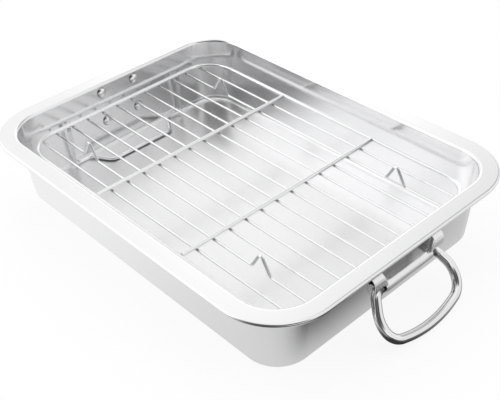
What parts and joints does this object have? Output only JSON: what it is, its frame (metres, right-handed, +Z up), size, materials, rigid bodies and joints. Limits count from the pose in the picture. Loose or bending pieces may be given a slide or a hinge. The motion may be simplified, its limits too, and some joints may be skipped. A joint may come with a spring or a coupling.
{
  "type": "roasting pan with rack",
  "caption": "Deep rectangular steel roasting pan with rounded corners, a wide rolled rim, a hinged bail handle at each short end and a loose wire rack inside.",
  "frame": {"origin": "middle of the pan's flat underside", "axes": "+X along the pan towards one handle, +Y across it, +Z up"},
  "size_m": [0.4522, 0.298, 0.07],
  "materials": {
    "pan_steel": "drawn stainless sheet, softly polished",
    "bracket_steel": "satin stainless",
    "rivet_steel": "bright domed heads",
    "rod_steel": "polished stainless rod",
    "rack_chrome": "bright plated wire"
  },
  "bodies": {
    "tray": {"pan": "pan_steel", "right_bracket": "bracket_steel", "left_bracket": "bracket_steel", "right_bracket_rivets": "rivet_steel", "left_bracket_rivets": "rivet_steel"},
    "right_bail": {"right_handle": "rod_steel"},
    "left_bail": {"left_handle": "rod_steel"},
    "rack": {"rack_frame": "rack_chrome", "rack_left_cross_wire": "rack_chrome", "rack_right_cross_wire": "rack_chrome", "rack_left_handle": "rack_chrome", "rack_right_handle": "rack_chrome", "rack_wire_1": "rack_chrome", "rack_wire_2": "rack_chrome", "rack_wire_3": "rack_chrome", "rack_wire_4": "rack_chrome", "rack_wire_5": "rack_chrome", "rack_wire_6": "rack_chrome", "rack_wire_7": "rack_chrome", "rack_wire_8": "rack_chrome", "rack_wire_9": "rack_chrome", "rack_wire_10": "rack_chrome", "rack_wire_11": "rack_chrome", "rack_wire_12": "rack_chrome"}
  },
  "joints": [
    {"name": "right_handle_swing", "type": "hinge", "parent": "tray", "child": "right_bail", "pos_m": [0.1928, 0, 0.0415], "axis": [0, -1, 0], "range_deg": [-54, 67]},
    {"name": "left_handle_swing", "type": "hinge", "parent": "tray", "child": "left_bail", "pos_m": [-0.1928, 0, 0.0415], "axis": [0, 1, 0], "range_deg": [-54, 67]},
    {"name": "rack_lift", "type": "slide", "parent": "tray", "child": "rack", "axis": [0, 0, 1], "range_m": [0, 0.09]}
  ]
}
